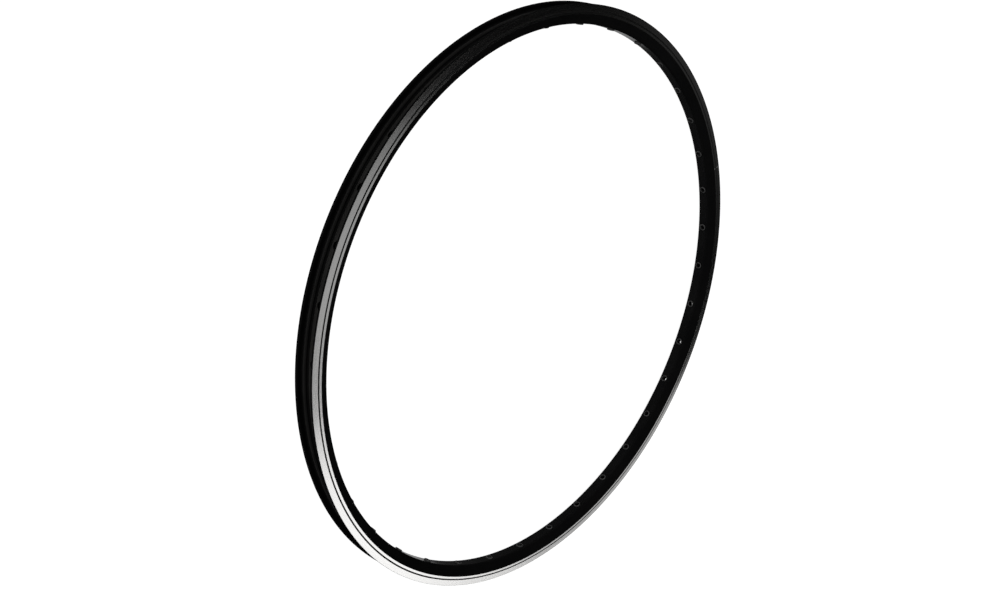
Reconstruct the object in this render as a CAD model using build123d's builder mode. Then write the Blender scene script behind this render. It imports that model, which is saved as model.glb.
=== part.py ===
from build123d import *
import math
import os

# A double-wall bicycle rim for rim brakes, 622 mm bead seat and 19 mm inner
# width, lying on its side: the wheel axis is +Z, the origin is the wheel's
# centre in the rim's middle plane, and the valve hole is on +X.
# All sizes are in millimetres.

# ---------------------------------------------------------------- dimensions
outer_radius = 317.0            # top of the flanges
half_width = 12.1               # brake track to middle plane
bead_seat_radius = 311.0        # 622 mm bead-seat diameter
bed_radius = 296.7              # spoke bed, on the hub side
bed_corner = 6.0                # where bed and lower side wall would meet
bed_corner_round = 1.9
track_inner_radius = 306.8      # lower edge of the machined brake track
track_edge_round = 0.4
lip_edge_round = 0.25

# wear groove in each brake track
groove_radius = 310.0
groove_width = 1.6
groove_floor = 1.2
groove_depth = 0.5

# hooked flanges and tyre well
hook_half_gap = 9.5             # 19 mm between the bead hooks
hook_height = 2.3
undercut_radius = 313.9
flange_inner = 10.5             # flange wall is 1.6 mm thick
shelf_inner = 7.9
shelf_crown = 0.15
well_radius = 307.2
well_half_width = 6.9

# box cavity
cavity_bed_radius = 298.5
cavity_bed_corner = 5.685
cavity_knee_radius = 306.6
cavity_knee = 10.58
cavity_ear_radius = 309.7
cavity_ear_outer = 10.6
cavity_ear_inner = 9.0
cavity_roof_radius = 305.95
cavity_roof_corner = 8.05

# spoke holes
spoke_count = 36
spoke_pitch = 360.0 / spoke_count
spoke_start = spoke_pitch / 2   # the valve hole is midway between two spokes
bed_hole_radius = 2.73
access_hole_radius = 4.2
bed_seat_radius = 4.1           # flat under the eyelet's rolled ring
bed_seat_plane = 296.74
inner_seat_radius = 4.15        # flat under the eyelet's inner flange
inner_seat_plane = 298.46

# eyelets
eyelet_bore_radius = 2.25
eyelet_shank_radius = 2.7
eyelet_ring_radius = 3.9
eyelet_ring_height = 1.35
eyelet_ring_outer_round = 0.65
eyelet_ring_inner_round = 0.25
eyelet_mouth_radius = 3.05      # flared mouth on the hub side
eyelet_mouth_depth = 1.65
eyelet_flange_radius = 3.95     # passes through the access hole
eyelet_flange_height = 0.8
eyelet_seat_radius = 3.2        # mouth of the nipple seat
eyelet_seat_depth = 0.96

# valve hole
valve_radius = 4.25

# joint sleeve, inside the cavity opposite the valve hole
sleeve_angle = 180.0
sleeve_span = 7.2
sleeve_bottom_radius = 298.5     # stands on the cavity floor
sleeve_bottom_corner = 5.60
sleeve_top_radius = 305.89
sleeve_top_corner = 10.03
sleeve_core_bottom = 300.1
sleeve_core_bottom_corner = 4.7
sleeve_core_top = 304.4
sleeve_core_top_corner = 7.3


def both_sides(points):
    """The listed corners for the upper half, then their mirror images."""
    return points + [(r, -z) for r, z in reversed(points)]


# -------------------------------------------------------------------- hoop
# One extruded section, rolled to a hoop and butt joined, then drilled.
outline = both_sides(
    [
        (bed_radius, bed_corner),
        (track_inner_radius, half_width),
        (groove_radius - groove_width / 2, half_width),
        (groove_radius - groove_floor / 2, half_width - groove_depth),
        (groove_radius + groove_floor / 2, half_width - groove_depth),
        (groove_radius + groove_width / 2, half_width),
        (outer_radius, half_width),
        (outer_radius, hook_half_gap),
        (outer_radius - hook_height, hook_half_gap),
        (undercut_radius, flange_inner),
        (bead_seat_radius, flange_inner),
        (bead_seat_radius + shelf_crown, shelf_inner),
        (well_radius, well_half_width),
    ]
)
outline_rounds = [
    bed_corner_round,
    track_edge_round,
    0.0,
    0.35,
    0.35,
    0.0,
    lip_edge_round,
    0.9,
    0.5,
    0.5,
    0.8,
    0.8,
    1.5,
]
cavity = both_sides(
    [
        (cavity_bed_radius, cavity_bed_corner),
        (cavity_knee_radius, cavity_knee),
        (cavity_ear_radius, cavity_ear_outer),
        (cavity_ear_radius, cavity_ear_inner),
        (cavity_roof_radius, cavity_roof_corner),
    ]
)
cavity_rounds = [1.0, 1.0, 0.5, 0.5, 0.8]

with BuildPart() as rim_hoop:
    with BuildSketch(Plane.XZ) as hoop_section:
        with BuildLine():
            FilletPolyline(
                *outline, radius=outline_rounds + outline_rounds[::-1], close=True
            )
        make_face()
        with BuildLine():
            FilletPolyline(
                *cavity, radius=cavity_rounds + cavity_rounds[::-1], close=True
            )
        make_face(mode=Mode.SUBTRACT)
    revolve(axis=Axis.Z)
    # spoke holes in the bed, with a flat on each face for the eyelet
    with PolarLocations(bed_radius, spoke_count, spoke_start):
        Cylinder(bed_hole_radius, 8.0, rotation=(0, 90, 0), mode=Mode.SUBTRACT)
    with PolarLocations(bed_seat_plane, spoke_count, spoke_start):
        Cylinder(
            bed_seat_radius,
            4.0,
            rotation=(0, 90, 0),
            align=(Align.CENTER, Align.CENTER, Align.MAX),
            mode=Mode.SUBTRACT,
        )
    with PolarLocations(inner_seat_plane, spoke_count, spoke_start):
        Cylinder(
            inner_seat_radius,
            4.0,
            rotation=(0, 90, 0),
            align=(Align.CENTER, Align.CENTER, Align.MIN),
            mode=Mode.SUBTRACT,
        )
    # access holes in the outer wall, one over each spoke hole
    with PolarLocations(well_radius, spoke_count, spoke_start):
        Cylinder(access_hole_radius, 8.0, rotation=(0, 90, 0), mode=Mode.SUBTRACT)
    # valve hole, straight through both walls
    with Locations((302.0, 0, 0)):
        Cylinder(valve_radius, 30.0, rotation=(0, 90, 0), mode=Mode.SUBTRACT)
rim_hoop.part.label = "rim_hoop"

# ----------------------------------------------------------------- eyelets
# Turned eyelet on +X: rolled ring on the hub side, shank through the bed,
# flange with the nipple's seat inside the cavity.
with BuildPart() as eyelet:
    with BuildSketch(Plane.XZ) as eyelet_section:
        with BuildLine():
            FilletPolyline(
                (bed_seat_plane - eyelet_ring_height, eyelet_mouth_radius),
                (bed_seat_plane - eyelet_ring_height, eyelet_ring_radius),
                (bed_seat_plane, eyelet_ring_radius),
                (bed_seat_plane, eyelet_shank_radius),
                (inner_seat_plane, eyelet_shank_radius),
                (inner_seat_plane, eyelet_flange_radius),
                (inner_seat_plane + eyelet_flange_height, eyelet_flange_radius),
                (inner_seat_plane + eyelet_flange_height, eyelet_seat_radius),
                (
                    inner_seat_plane + eyelet_flange_height - eyelet_seat_depth,
                    eyelet_bore_radius,
                ),
                (
                    bed_seat_plane - eyelet_ring_height + eyelet_mouth_depth,
                    eyelet_bore_radius,
                ),
                radius=[
                    eyelet_ring_inner_round,
                    eyelet_ring_outer_round,
                    0.0,
                    0.0,
                    0.0,
                    0.0,
                    0.3,
                    0.2,
                    0.0,
                    0.0,
                ],
                close=True,
            )
        make_face()
    revolve(axis=Axis.X)

with BuildPart() as spoke_eyelets:
    with PolarLocations(0, spoke_count, spoke_start):
        add(eyelet.part)
spoke_eyelets.part.label = "spoke_eyelets"

# ------------------------------------------------------------ joint sleeve
# A short hollow bar that fills the cavity across the hoop's butt joint.
start = math.radians(sleeve_angle - sleeve_span / 2)
sleeve_plane = Plane(
    origin=(0, 0, 0),
    x_dir=(math.cos(start), math.sin(start), 0),
    z_dir=(math.sin(start), -math.cos(start), 0),
)
with BuildPart() as joint_sleeve:
    with BuildSketch(sleeve_plane) as sleeve_section:
        with BuildLine():
            FilletPolyline(
                *both_sides(
                    [
                        (sleeve_bottom_radius, sleeve_bottom_corner),
                        (sleeve_top_radius, sleeve_top_corner),
                    ]
                ),
                radius=[1.2, 0.6, 0.6, 1.2],
                close=True,
            )
        make_face()
        with BuildLine():
            FilletPolyline(
                *both_sides(
                    [
                        (sleeve_core_bottom, sleeve_core_bottom_corner),
                        (sleeve_core_top, sleeve_core_top_corner),
                    ]
                ),
                radius=[0.6, 0.6, 0.6, 0.6],
                close=True,
            )
        make_face(mode=Mode.SUBTRACT)
    revolve(axis=Axis.Z, revolution_arc=sleeve_span)
joint_sleeve.part.label = "joint_sleeve"

# ------------------------------------------------------------------ export
os.makedirs("parts", exist_ok=True)
export_step(rim_hoop.part, "parts/rim_hoop.step")
export_step(spoke_eyelets.part, "parts/spoke_eyelets.step")
export_step(joint_sleeve.part, "parts/joint_sleeve.step")
for piece in (rim_hoop, spoke_eyelets, joint_sleeve):
    print(
        piece.part.label,
        len(piece.part.solids()),
        "solids",
        round(piece.part.volume, 1),
        "mm3",
    )
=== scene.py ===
import math

import bpy
import numpy as np
from mathutils import Matrix


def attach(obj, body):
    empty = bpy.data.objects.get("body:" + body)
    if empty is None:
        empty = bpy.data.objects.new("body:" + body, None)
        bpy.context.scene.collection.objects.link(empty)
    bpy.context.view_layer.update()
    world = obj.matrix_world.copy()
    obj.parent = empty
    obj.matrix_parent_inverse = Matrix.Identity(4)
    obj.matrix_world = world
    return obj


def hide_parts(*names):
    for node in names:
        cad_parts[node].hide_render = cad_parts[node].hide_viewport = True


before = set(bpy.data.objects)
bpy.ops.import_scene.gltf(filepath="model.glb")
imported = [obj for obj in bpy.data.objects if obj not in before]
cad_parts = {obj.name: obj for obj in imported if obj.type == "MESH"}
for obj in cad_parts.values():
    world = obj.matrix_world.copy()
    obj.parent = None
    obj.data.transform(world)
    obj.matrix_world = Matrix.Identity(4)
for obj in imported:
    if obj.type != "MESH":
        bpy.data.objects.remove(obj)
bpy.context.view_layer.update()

scene = bpy.context.scene
MM = 0.001

# ---------------------------------------------------------------- the section
# Half of the rim's section, (radius, height over the middle plane, rounding,
# steps in the rounding), from the spoke bed over the brake track to the well.
OUTLINE = [
    (296.7, 6.0, 1.9, 6),       # spoke bed to lower side wall
    (306.8, 12.1, 0.4, 4),      # side wall to brake track
    (309.2, 12.1, 0.0, 0),      # wear groove
    (309.4, 11.6, 0.35, 3),
    (310.6, 11.6, 0.35, 3),
    (310.8, 12.1, 0.0, 0),
    (317.0, 12.1, 0.25, 4),     # lip
    (317.0, 9.5, 0.9, 5),       # bead hook
    (314.7, 9.5, 0.5, 3),
    (313.9, 10.5, 0.5, 3),
    (311.0, 10.5, 0.8, 4),      # bead seat
    (311.15, 7.9, 0.8, 4),
    (309.175, 7.4, 0.0, 0),     # half way down the well's wall
    (307.2, 6.9, 1.5, 5),       # well
]
CAVITY = [
    (298.5, 5.685, 1.0, 3),
    (306.6, 10.58, 1.0, 3),
    (309.7, 10.6, 0.5, 2),
    (309.7, 9.0, 0.5, 2),
    (305.95, 8.05, 0.8, 3),
]
BLACK, TRACK, GROOVE, INSIDE, WELL_PAINTED_LIGHT, SHELF_PAINTED_LIGHT, BED = 0, 1, 2, 3, 4, 5, 6

SPOKES = 36
PITCH = 360.0 / SPOKES
HOLE_STEPS = 8                  # steps along each side of a hole's square
PATCH = 1.12                    # half the square's width, in degrees
SEAM = 180.0                    # the hoop's butt joint, opposite the valve


def both_sides(half):
    return half + [(r, -z, c, n) for r, z, c, n in reversed(half)]


def section(corners, outward):
    """Points of a closed, rounded outline with the normal on each side of
    each point, and for each run of points the corner that it starts from
    (even: the rounding, odd: the straight run after it)."""
    pts = np.array([(c[0], c[1]) for c in corners], float)
    n = len(pts)
    out, before, after, runs = [], [], [], []
    sign = 1.0 if outward else -1.0

    def left(d):
        return sign * np.array([-d[1], d[0]])

    for i in range(n):
        p, q, s = pts[i - 1], pts[i], pts[(i + 1) % n]
        a = (q - p) / np.linalg.norm(q - p)
        b = (s - q) / np.linalg.norm(s - q)
        radius, steps = corners[i][2], corners[i][3]
        if radius == 0.0:
            out.append(q)
            before.append(left(a))
            after.append(left(b))
            runs.append(2 * i + 1)
            continue
        turn = math.atan2(a[0] * b[1] - a[1] * b[0], float(a @ b))
        tangent = radius * math.tan(abs(turn) / 2)
        start = q - a * tangent
        side = 1.0 if turn > 0 else -1.0
        centre = start + side * radius * np.array([-a[1], a[0]])
        for k in range(steps + 1):
            t = turn * k / steps
            c, w = math.cos(t), math.sin(t)
            d = np.array([a[0] * c - a[1] * w, a[0] * w + a[1] * c])
            out.append(centre - side * radius * np.array([-d[1], d[0]]))
            before.append(left(d))
            after.append(left(d))
            runs.append(2 * i if k < steps else 2 * i + 1)
    return np.array(out), np.array(before), np.array(after), runs


def outline_material(run):
    """Only the flat of the brake track is machined bright. The bead seats and
    the well's floor are painted greyer, as painted light from the pale floor on
    these outward-facing faces, and the spoke bed is smoother than the side walls."""
    n = 2 * len(OUTLINE)
    i, straight = divmod(run, 2)
    if i >= n // 2:                                # the mirrored half
        i = (n - 1 - i - straight) if straight else (n - 1 - i)
    if straight:
        # bead seats, the well wall's upper half and the well floor take the greyer materials: painted light from
        # the pale floor
        return {1: TRACK, 2: GROOVE, 3: GROOVE, 4: GROOVE, 5: TRACK, 10: SHELF_PAINTED_LIGHT, 11: SHELF_PAINTED_LIGHT, 13: WELL_PAINTED_LIGHT}.get(i, BLACK)
    return {3: GROOVE, 4: GROOVE, 11: SHELF_PAINTED_LIGHT}.get(i, BLACK)


# ------------------------------------------------------------------- columns
def columns():
    """Azimuths of the section's copies round the hoop, in degrees, and the
    first column of each square that holds a hole: {first: (azimuth, kind)}."""
    holes = [(PITCH * (k + 0.5), "spoke") for k in range(SPOKES)] + [(360.0, "valve")]
    angles, squares = [], {}

    def plain(start, end, count):
        angles.extend(start + (end - start) * k / count for k in range(count))

    at = PATCH                                      # end of the valve's square
    for centre, kind in holes:
        begin = centre - PATCH
        gap = begin - at
        if at < SEAM < begin:
            notch = 0.022                           # half the joint's fine line
            plain(at, SEAM - notch, 3)
            angles.extend([SEAM - notch, SEAM])
            plain(SEAM + notch, begin, 3)
        else:
            plain(at, begin, 6 if gap > 5 else 2)
        squares[len(angles)] = (centre, kind)
        plain(begin, centre + PATCH, HOLE_STEPS)
        at = centre + PATCH
    return np.array(angles), squares


class Solid:
    """Collects corners, faces, each face corner's normal and materials."""

    def __init__(self):
        self.verts, self.faces, self.normals, self.mats = [], [], [], []

    def add(self, points):
        first = len(self.verts)
        self.verts.extend(points)
        return first

    def face(self, ids, normals, mat):
        a, b, c = (np.asarray(self.verts[i]) for i in ids[:3])
        flat = np.cross(b - a, np.asarray(self.verts[ids[-1]]) - a)
        if float(flat @ sum(np.asarray(n) for n in normals)) < 0:
            ids, normals = ids[::-1], normals[::-1]
        self.faces.append(tuple(ids))
        self.normals.extend(normals)
        self.mats.append(mat)

    def build(self, name, materials):
        mesh = bpy.data.meshes.new(name)
        mesh.from_pydata([tuple(v) for v in self.verts], [], self.faces)
        mesh.polygons.foreach_set("material_index", np.array(self.mats, np.int32))
        mesh.polygons.foreach_set("use_smooth", np.ones(len(self.faces), bool))
        for m in materials:
            mesh.materials.append(m)
        mesh.update()
        mesh.normals_split_custom_set([tuple(n) for n in self.normals])
        obj = bpy.data.objects.new(name, mesh)
        scene.collection.objects.link(obj)
        return obj


def turn(vec, c, s):
    """A (radial, height) vector of the section, turned to an azimuth."""
    return np.array([vec[0] * c, vec[0] * s, vec[1]])


def build_hoop(materials):
    solid = Solid()
    angles, squares = columns()
    count = len(angles)
    cos, sin = np.cos(np.radians(angles)), np.sin(np.radians(angles))
    inside_square = {}
    for first in squares:
        for k in range(HOLE_STEPS):
            inside_square[first + k] = first
    seam = int(np.argmin(np.abs(angles - SEAM)))
    rings = {}                  # hole rims, to be joined by the hole's wall

    for corners, outward, names in (
        (both_sides(OUTLINE), True, ("bed", "well")),
        (both_sides(CAVITY), False, ("floor", "roof")),
    ):
        pts, before, after, runs = section(corners, outward)
        n = len(pts)
        # the two drilled walls are the straight runs across the middle plane
        drilled = {}
        for i in range(n):
            if abs(pts[i][0] - pts[(i + 1) % n][0]) < 1e-6 and (
                pts[i][1] * pts[(i + 1) % n][1] < 0
            ):
                drilled[i] = names[0] if i == n - 1 else names[1]
        first = solid.add([None] * (n * count))
        for j in range(count):
            for i in range(n):
                p = pts[i]
                if outward and j == seam:
                    p = p - 0.09 * (before[i] + after[i]) / np.linalg.norm(before[i] + after[i])
                solid.verts[first + j * n + i] = turn(p, cos[j], sin[j]) * MM
        normal_b = [[turn(before[i], cos[j], sin[j]) for i in range(n)] for j in range(count)]
        normal_a = [[turn(after[i], cos[j], sin[j]) for i in range(n)] for j in range(count)]
        lean = 0.45                                 # slope of the joint's fine line
        for j in range(count):
            k = (j + 1) % count
            tip = 0.0
            if outward and k == seam:
                tip = lean
            if outward and j == seam:
                tip = -lean
            for i in range(n):
                m = (i + 1) % n
                if i in drilled:
                    continue
                mat = outline_material(runs[i]) if outward else INSIDE
                ids = [first + j * n + i, first + j * n + m, first + k * n + m, first + k * n + i]
                nor = [normal_a[j][i], normal_b[j][m], normal_b[k][m], normal_a[k][i]]
                if tip:
                    t = tip * np.array([-sin[seam], cos[seam], 0.0])
                    nor = [(v + t) / np.linalg.norm(v + t) for v in nor]
                solid.face(ids, nor, mat)

        for i, name in drilled.items():
            m = (i + 1) % n
            radius = pts[i][0]
            mat = {"bed": BED, "well": WELL_PAINTED_LIGHT}.get(name, INSIDE)
            facing = before[m][0]                   # +1 or -1 along the radius
            side_points = {}
            for start, (centre, kind) in squares.items():
                end = (start + HOLE_STEPS) % count
                # corners of the square's edge, anticlockwise in (along, up)
                low, high = (i, m) if pts[i][1] < pts[m][1] else (m, i)
                zl, zh = pts[low][1], pts[high][1]
                inner = []
                for column in (start, end):
                    z = np.linspace(zl, zh, HOLE_STEPS + 1)[1:-1]
                    a = solid.add(
                        [np.array([radius * cos[column], radius * sin[column], zz]) * MM for zz in z]
                    )
                    inner.append(list(range(a, a + HOLE_STEPS - 1)))
                side_points[start], side_points[end] = inner[0], inner[1]
                cols = [(start + k) % count for k in range(HOLE_STEPS + 1)]
                bottom = [first + c * n + low for c in cols]
                top = [first + c * n + high for c in cols]
                edge = bottom[:-1] + [bottom[-1]] + inner[1] + top[::-1][:-1] + [top[0]] + inner[0][::-1]
                around = len(edge)
                phi = np.radians(225.0 + 360.0 * np.arange(around) / around)
                c0, s0 = math.cos(math.radians(centre)), math.sin(math.radians(centre))
                out = np.array([c0, s0, 0.0])
                along = np.array([-s0, c0, 0.0])
                if kind == "valve":
                    hole = 4.25
                else:
                    hole = 2.73 if name in ("bed", "floor") else 4.2
                ease = 0.2
                rims = []
                for r_hole, depth in ((hole + ease, 0.0), (hole, ease)):
                    pos = []
                    for a in phi:
                        y, z = r_hole * math.cos(a), r_hole * math.sin(a)
                        x = math.sqrt(radius * radius - y * y) - facing * depth
                        pos.append((out * x + along * y + np.array([0, 0, z])) * MM)
                    rims.append(solid.add(pos))

                def surface(ids):
                    found = []
                    for q in ids:
                        x, y, _ = solid.verts[q]
                        found.append(facing * np.array([x, y, 0.0]) / math.hypot(x, y))
                    return found
                for v in range(around):
                    w = (v + 1) % around
                    ids = [edge[v], edge[w], rims[0] + w, rims[0] + v]
                    solid.face(ids, surface(ids), mat)
                    # the eased edge, then the wall further down
                    into = [-(along * math.cos(phi[q]) + np.array([0, 0, math.sin(phi[q])])) for q in (v, w)]
                    top_n = [facing * out + q for q in into]
                    top_n = [q / np.linalg.norm(q) for q in top_n]
                    ids = [rims[0] + v, rims[0] + w, rims[1] + w, rims[1] + v]
                    solid.face(ids, [top_n[0], top_n[1], top_n[1], top_n[0]], mat)
                rings[(name, centre)] = (rims[1], phi, out, along)
            # plain stretches of the drilled wall between the squares
            for j in range(count):
                if j in inside_square:
                    continue
                k = (j + 1) % count
                low, high = (i, m) if pts[i][1] < pts[m][1] else (m, i)
                ids = [first + j * n + low, first + k * n + low]
                ids += side_points.get(k, []) if k in side_points else []
                ids += [first + k * n + high, first + j * n + high]
                ids += side_points[j][::-1] if j in side_points else []
                nor = []
                for q in ids:
                    x, y, _ = solid.verts[q]
                    nor.append(facing * np.array([x, y, 0.0]) / math.hypot(x, y))
                solid.face(ids, nor, mat)

    for outer, inner in (("bed", "floor"), ("well", "roof")):
        for centre, kind in squares.values():
            a, phi, out, along = rings[(outer, centre)]
            b = rings[(inner, centre)][0]
            for v in range(len(phi)):
                w = (v + 1) % len(phi)
                into = [-(along * math.cos(phi[q]) + np.array([0, 0, math.sin(phi[q])])) for q in (v, w)]
                solid.face([a + v, a + w, b + w, b + v], [into[0], into[1], into[1], into[0]], INSIDE)
    return solid.build("alloy_hoop", materials)


# Eyelet section: (distance along the spoke from the wheel's centre, distance
# from the spoke's line, rounding, steps in the rounding).
EYELET = [
    (295.39, 3.05, 0.25, 4),
    (295.39, 3.9, 0.65, 6),
    (296.74, 3.9, 0.0, 0),
    (296.74, 2.7, 0.0, 0),
    (298.46, 2.7, 0.0, 0),
    (298.46, 3.95, 0.0, 0),
    (299.26, 3.95, 0.3, 3),
    (299.26, 3.2, 0.2, 2),
    (298.3, 2.25, 0.0, 0),
    (297.04, 2.25, 0.0, 0),
]


def build_eyelets(materials):
    solid = Solid()
    around = 40
    pts, before, after, _ = section(EYELET, True)
    n = len(pts)
    for s in range(SPOKES):
        a = math.radians(PITCH * (s + 0.5))
        out = np.array([math.cos(a), math.sin(a), 0.0])
        along = np.array([-math.sin(a), math.cos(a), 0.0])
        up = np.array([0.0, 0.0, 1.0])
        spin = [along * math.cos(t) + up * math.sin(t) for t in np.linspace(0, 2 * math.pi, around, endpoint=False)]
        first = solid.add([(out * p[0] + d * p[1]) * MM for d in spin for p in pts])
        for j in range(around):
            k = (j + 1) % around
            for i in range(n):
                m = (i + 1) % n
                ids = [first + j * n + i, first + j * n + m, first + k * n + m, first + k * n + i]
                nor = [
                    out * after[i][0] + spin[j] * after[i][1],
                    out * before[m][0] + spin[j] * before[m][1],
                    out * before[m][0] + spin[k] * before[m][1],
                    out * after[i][0] + spin[k] * after[i][1],
                ]
                # the bore's faces get the darker copy of the steel: painted shade inside the hole
                bore = max(pts[i][1], pts[m][1]) < 3.0
                solid.face(ids, nor, 1 if bore else 0)
    return solid.build("steel_eyelets", materials)


# ------------------------------------------------------------------ materials
def new_material(name):
    mat = bpy.data.materials.new(name)
    mat.use_nodes = True
    nodes, links = mat.node_tree.nodes, mat.node_tree.links
    shader = nodes["Principled BSDF"]
    return mat, nodes, links, shader


def hoop_coordinates(nodes, links, radial, axial, round_scale):
    """A vector (radius, height, azimuth) at the given scales per metre, so
    that a pattern runs round the hoop as an extrusion's or a cutter's does."""
    where = nodes.new("ShaderNodeTexCoord")
    split = nodes.new("ShaderNodeSeparateXYZ")
    links.new(where.outputs["Object"], split.inputs[0])

    def maths(op, a, b=None):
        node = nodes.new("ShaderNodeMath")
        node.operation = op
        for socket, value in zip(node.inputs, (a, b)):
            if value is None:
                continue
            if isinstance(value, (int, float)):
                socket.default_value = value
            else:
                links.new(value, socket)
        return node.outputs[0]

    x, y, z = split.outputs
    radius = maths("SQRT", maths("ADD", maths("MULTIPLY", x, x), maths("MULTIPLY", y, y)))
    join = nodes.new("ShaderNodeCombineXYZ")
    links.new(maths("MULTIPLY", radius, radial), join.inputs[0])
    links.new(maths("MULTIPLY", z, axial), join.inputs[1])
    links.new(maths("MULTIPLY", maths("ARCTAN2", y, x), round_scale), join.inputs[2])
    return join.outputs[0], where.outputs["Object"], radius


def noise(nodes, links, vector, scale, detail=3.0, rough=0.55):
    node = nodes.new("ShaderNodeTexNoise")
    node.inputs["Scale"].default_value = scale
    node.inputs["Detail"].default_value = detail
    node.inputs["Roughness"].default_value = rough
    links.new(vector, node.inputs["Vector"])
    return node.outputs["Fac"]


def ramp(nodes, links, factor, low, high, colour_low, colour_high):
    node = nodes.new("ShaderNodeValToRGB")
    node.color_ramp.elements[0].position = low
    node.color_ramp.elements[1].position = high
    node.color_ramp.elements[0].color = (*colour_low, 1.0)
    node.color_ramp.elements[1].color = (*colour_high, 1.0)
    links.new(factor, node.inputs[0])
    return node.outputs["Color"]


def spread(nodes, links, factor, low, high):
    """A 0..1 pattern spread between two values."""
    node = nodes.new("ShaderNodeMapRange")
    node.inputs["From Min"].default_value = 0.25
    node.inputs["From Max"].default_value = 0.75
    node.inputs["To Min"].default_value = low
    node.inputs["To Max"].default_value = high
    links.new(factor, node.inputs["Value"])
    return node.outputs["Result"]


def bump(nodes, links, height, strength, distance, under=None):
    node = nodes.new("ShaderNodeBump")
    node.inputs["Strength"].default_value = strength
    node.inputs["Distance"].default_value = distance
    links.new(height, node.inputs["Height"])
    if under is not None:
        links.new(under, node.inputs["Normal"])
    return node.outputs["Normal"]


def black_anodised(name, dark, light, rough_low, rough_high, level):
    """Satin black anodising over faint extrusion lines and a fine etch."""
    mat, nodes, links, shader = new_material(name)
    lines, plain, _ = hoop_coordinates(nodes, links, 2600.0, 2600.0, 9.0)
    drawn = noise(nodes, links, lines, 1.0, 4.0, 0.6)
    etch = noise(nodes, links, plain, 5200.0, 2.0, 0.5)
    cloud = noise(nodes, links, plain, 34.0, 4.0, 0.55)
    links.new(ramp(nodes, links, cloud, 0.3, 0.72, dark, light), shader.inputs["Base Color"])
    links.new(spread(nodes, links, drawn, rough_low, rough_high), shader.inputs["Roughness"])
    shader.inputs["Specular IOR Level"].default_value = level
    first = bump(nodes, links, drawn, 0.10, 0.00004)
    links.new(bump(nodes, links, etch, 0.10, 0.00003, first), shader.inputs["Normal"])
    return mat


def machined_track():
    """Bright turned aluminium: fine rings left by the cutter, faint streaks."""
    mat, nodes, links, shader = new_material("machined_track")
    rings, plain, _ = hoop_coordinates(nodes, links, 5200.0, 300.0, 1.6)
    cut = noise(nodes, links, rings, 1.0, 2.0, 0.5)
    wide, _, _ = hoop_coordinates(nodes, links, 900.0, 100.0, 5.0)
    streak = noise(nodes, links, wide, 1.0, 3.0, 0.6)
    links.new(
        ramp(nodes, links, streak, 0.3, 0.7, (0.80, 0.795, 0.785), (0.90, 0.895, 0.885)),
        shader.inputs["Base Color"],
    )
    shader.inputs["Metallic"].default_value = 1.0
    links.new(spread(nodes, links, streak, 0.15, 0.185), shader.inputs["Roughness"])
    shader.inputs["Anisotropic"].default_value = 0.2
    tangent = nodes.new("ShaderNodeTangent")
    tangent.direction_type = "RADIAL"
    tangent.axis = "Z"
    links.new(tangent.outputs[0], shader.inputs["Tangent"])
    links.new(bump(nodes, links, cut, 0.03, 0.00002), shader.inputs["Normal"])
    return mat


def eyelet_steel(name, dark, light):
    """Dark plated steel, spun over; the bore's much darker copy is painted shade."""
    mat, nodes, links, shader = new_material(name)
    where = nodes.new("ShaderNodeTexCoord")
    cloud = noise(nodes, links, where.outputs["Object"], 420.0, 4.0, 0.6)
    fine = noise(nodes, links, where.outputs["Object"], 4200.0, 2.0, 0.5)
    links.new(
        ramp(nodes, links, cloud, 0.3, 0.7, dark, light),
        shader.inputs["Base Color"],
    )
    shader.inputs["Metallic"].default_value = 0.35
    links.new(spread(nodes, links, cloud, 0.38, 0.52), shader.inputs["Roughness"])
    links.new(bump(nodes, links, fine, 0.12, 0.00003), shader.inputs["Normal"])
    return mat


def sleeve_alloy():
    """Raw extruded aluminium, sawn at both ends."""
    mat, nodes, links, shader = new_material("sleeve_alloy")
    lines, plain, _ = hoop_coordinates(nodes, links, 2400.0, 2400.0, 12.0)
    drawn = noise(nodes, links, lines, 1.0, 4.0, 0.6)
    cloud = noise(nodes, links, plain, 160.0, 3.0, 0.5)
    links.new(
        ramp(nodes, links, cloud, 0.3, 0.7, (0.56, 0.56, 0.57), (0.70, 0.70, 0.70)),
        shader.inputs["Base Color"],
    )
    shader.inputs["Metallic"].default_value = 1.0
    links.new(spread(nodes, links, drawn, 0.34, 0.48), shader.inputs["Roughness"])
    links.new(bump(nodes, links, drawn, 0.25, 0.00005), shader.inputs["Normal"])
    return mat


# --------------------------------------------------------------------- pieces
black = black_anodised("black_anodised", (0.0022, 0.0022, 0.0024), (0.0042, 0.0041, 0.0042), 0.44, 0.54, 0.06)
groove = black_anodised("groove_black", (0.006, 0.006, 0.006), (0.012, 0.012, 0.012), 0.4, 0.55, 0.25)
# well and shelf colours are several times lighter than the black: painted light standing for the pale floor on
# these outward faces
well = black_anodised("well_painted_floor_light", (0.021, 0.0205, 0.0195), (0.030, 0.029, 0.028), 0.38, 0.5, 0.14)
shelf = black_anodised("shelf_painted_floor_light", (0.016, 0.0155, 0.015), (0.023, 0.0225, 0.022), 0.38, 0.5, 0.14)
bed = black_anodised("bed_black", (0.0035, 0.0035, 0.0037), (0.0062, 0.0061, 0.0062), 0.13, 0.19, 0.2)
inside = black_anodised("inside_black", (0.003, 0.003, 0.003), (0.006, 0.006, 0.006), 0.5, 0.65, 0.2)

hoop = build_hoop([black, machined_track(), groove, inside, well, shelf, bed])
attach(hoop, "root")
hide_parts("rim_hoop")

ring_steel = eyelet_steel("eyelet_ring", (0.066, 0.066, 0.067), (0.100, 0.0985, 0.096))
# the same plated steel, much darker: painted shade inside the eyelet's bore
bore_painted_shade = eyelet_steel("eyelet_bore_painted_shade", (0.008, 0.008, 0.008), (0.016, 0.016, 0.016))
eyelets = build_eyelets([ring_steel, bore_painted_shade])
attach(eyelets, "root")
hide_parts("spoke_eyelets")

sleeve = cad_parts["joint_sleeve"]
raw = sleeve_alloy()
if sleeve.material_slots:
    for held in sleeve.material_slots:
        held.material = raw
else:
    sleeve.data.materials.append(raw)

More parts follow.
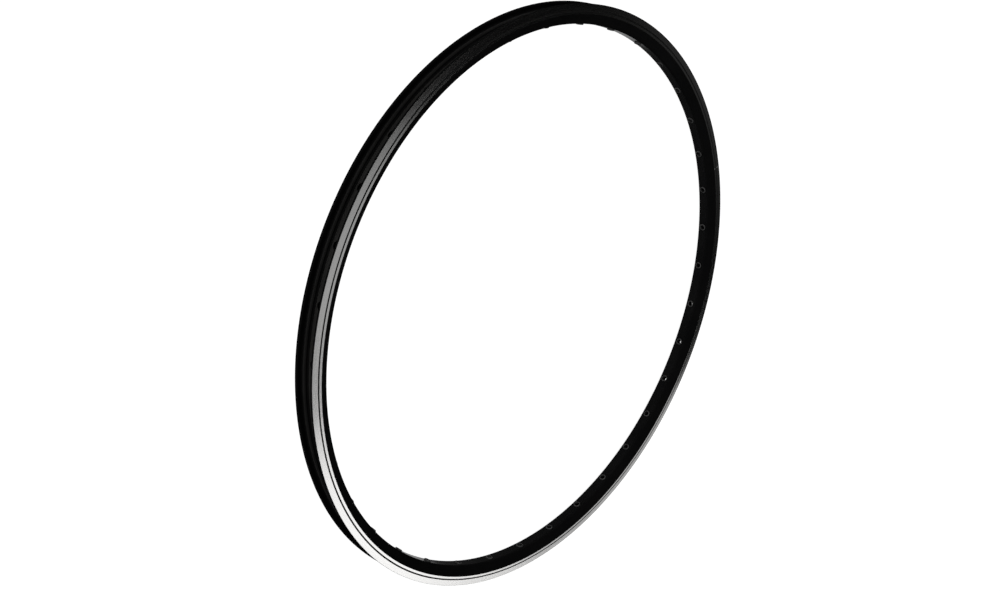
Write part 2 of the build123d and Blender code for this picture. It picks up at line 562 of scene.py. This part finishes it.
# ---------------------------------------------------------------------- stage
ground = bpy.data.meshes.new("floor")
reach = 20.0
level = -0.01215
ground.from_pydata(
    [(-reach, -reach, level), (reach, -reach, level), (reach, reach, level), (-reach, reach, level)],
    [],
    [(0, 1, 2, 3)],
)
floor = bpy.data.objects.new("floor", ground)
scene.collection.objects.link(floor)
floor.visible_glossy = False
pale, nodes, links, shader = new_material("pale_floor")
grain = nodes.new("ShaderNodeTexCoord")
mottle = noise(nodes, links, grain.outputs["Object"], 3.0, 3.0, 0.5)
links.new(ramp(nodes, links, mottle, 0.3, 0.7, (0.40, 0.40, 0.40), (0.42, 0.42, 0.42)), shader.inputs["Base Color"])
shader.inputs["Roughness"].default_value = 1.0
shader.inputs["Specular IOR Level"].default_value = 0.0
shader.inputs["Emission Color"].default_value = (1.0, 1.0, 1.0, 1.0)
shader.inputs["Emission Strength"].default_value = 0.968
ground.materials.append(pale)

# a pale wall far behind everything, only seen by the camera from low down
wall_mesh = bpy.data.meshes.new("backdrop")
sides, wall_radius, wall_top = 96, 19.0, 12.0
ring = [(wall_radius * math.cos(2 * math.pi * k / sides), wall_radius * math.sin(2 * math.pi * k / sides)) for k in range(sides)]
wall_mesh.from_pydata(
    [(x, y, level) for x, y in ring] + [(x, y, wall_top) for x, y in ring],
    [],
    [(k, k + sides, (k + 1) % sides + sides, (k + 1) % sides) for k in range(sides)],
)
backdrop = bpy.data.objects.new("backdrop", wall_mesh)
scene.collection.objects.link(backdrop)
backdrop.visible_diffuse = False
backdrop.visible_glossy = False
backdrop.visible_transmission = False
backdrop.visible_shadow = False
wall_mesh.materials.append(pale)


def softbox(name, azimuth, elevation, width, height, radiance, roll=0.0, distance=6.0):
    """A soft panel seen from the rim's centre in that direction. Width and
    height are in degrees."""
    a, e = math.radians(azimuth), math.radians(elevation)
    back = np.array([math.cos(e) * math.cos(a), math.cos(e) * math.sin(a), math.sin(e)])
    right = np.array([-math.sin(a), math.cos(a), 0.0])
    up = np.cross(back, right)
    data = bpy.data.lights.new(name, "AREA")
    data.shape = "RECTANGLE"
    data.size = 2 * distance * math.tan(math.radians(width) / 2)
    data.size_y = 2 * distance * math.tan(math.radians(height) / 2)
    data.energy = radiance * math.pi * data.size * data.size_y
    lamp = bpy.data.objects.new(name, data)
    scene.collection.objects.link(lamp)
    axes = Matrix(np.array([right, up, back]).T.tolist()).to_4x4()
    lamp.matrix_world = Matrix.Translation((back * distance).tolist()) @ axes @ Matrix.Rotation(math.radians(roll), 4, "Z")
    lamp.visible_camera = False
    return lamp


softbox("key", 108.8, 39.7, 10.3, 14.3, 1.25, roll=-11.6)
softbox("side_panel", 123.8, 36.9, 16.2, 34.2, 0.405, roll=-18.9)
softbox("far_panel", 149.0, 32.2, 13.2, 6.2, 0.029)
softbox("edge_light", 192.0, 35.0, 20.0, 20.0, 0.6)
softbox("overhead", 0.0, 88.0, 40.0, 40.0, 0.3)
softbox("back_panel", -70.0, 33.0, 52.0, 58.0, 0.5)
softbox("left_fill", -132.0, 33.0, 60.0, 58.0, 0.48)
softbox("right_fill", -8.0, 33.0, 60.0, 58.0, 0.48)
softbox("far_fill", 50.0, 33.0, 38.0, 58.0, 0.34)

world = bpy.data.worlds.new("studio")
scene.world = world
world.use_nodes = True
sky = world.node_tree.nodes["Background"]
sky.inputs["Color"].default_value = (1.0, 1.0, 1.0, 1.0)
# the little light from below stands for the pale floor in reflections
facing = world.node_tree.nodes.new("ShaderNodeTexCoord")
height = world.node_tree.nodes.new("ShaderNodeSeparateXYZ")
fade = world.node_tree.nodes.new("ShaderNodeMapRange")
fade.inputs["From Min"].default_value = -0.15
fade.inputs["From Max"].default_value = 0.05
fade.inputs["To Min"].default_value = 0.028
fade.inputs["To Max"].default_value = 0.0004
world.node_tree.links.new(facing.outputs["Generated"], height.inputs[0])
world.node_tree.links.new(height.outputs["Z"], fade.inputs["Value"])
# a lighter patch of it, with a faint wider one, which the spoke bed catches
# where it is seen nearly edge on
light_below = fade.outputs["Result"]
for centre, edge, full, strength in (
    ((-0.4944, 0.6328, -0.5962), 0.987, 0.9965, 0.48),
    ((-0.6197, 0.5200, -0.5878), 0.880, 0.960, 0.018),
):
    toward = world.node_tree.nodes.new("ShaderNodeVectorMath")
    toward.operation = "DOT_PRODUCT"
    toward.inputs[1].default_value = centre
    patch = world.node_tree.nodes.new("ShaderNodeMapRange")
    patch.inputs["From Min"].default_value = edge
    patch.inputs["From Max"].default_value = full
    patch.inputs["To Min"].default_value = 0.0
    patch.inputs["To Max"].default_value = strength
    total = world.node_tree.nodes.new("ShaderNodeMath")
    total.operation = "ADD"
    world.node_tree.links.new(facing.outputs["Generated"], toward.inputs[0])
    world.node_tree.links.new(toward.outputs["Value"], patch.inputs["Value"])
    world.node_tree.links.new(light_below, total.inputs[0])
    world.node_tree.links.new(patch.outputs["Result"], total.inputs[1])
    light_below = total.outputs[0]
world.node_tree.links.new(light_below, sky.inputs["Strength"])

scene.view_settings.view_transform = "Standard"
scene.view_settings.look = "None"

# --------------------------------------------------------------------- camera
lens = bpy.data.cameras.new("camera")
lens.sensor_fit = "HORIZONTAL"
lens.sensor_width = 36.0
lens.lens = 38.1199
lens.shift_x = -0.064801
lens.shift_y = -0.007362
lens.clip_start = 0.01
lens.clip_end = 100.0
camera = bpy.data.objects.new("camera", lens)
scene.collection.objects.link(camera)
camera.matrix_world = Matrix(
    (
        (-0.631736, -0.544479, 0.551772, 0.608191),
        (0.169402, -0.791558, -0.587145, -0.681023),
        (0.756447, -0.277449, 0.592292, 0.685398),
        (0.0, 0.0, 0.0, 1.0),
    )
)
scene.camera = camera
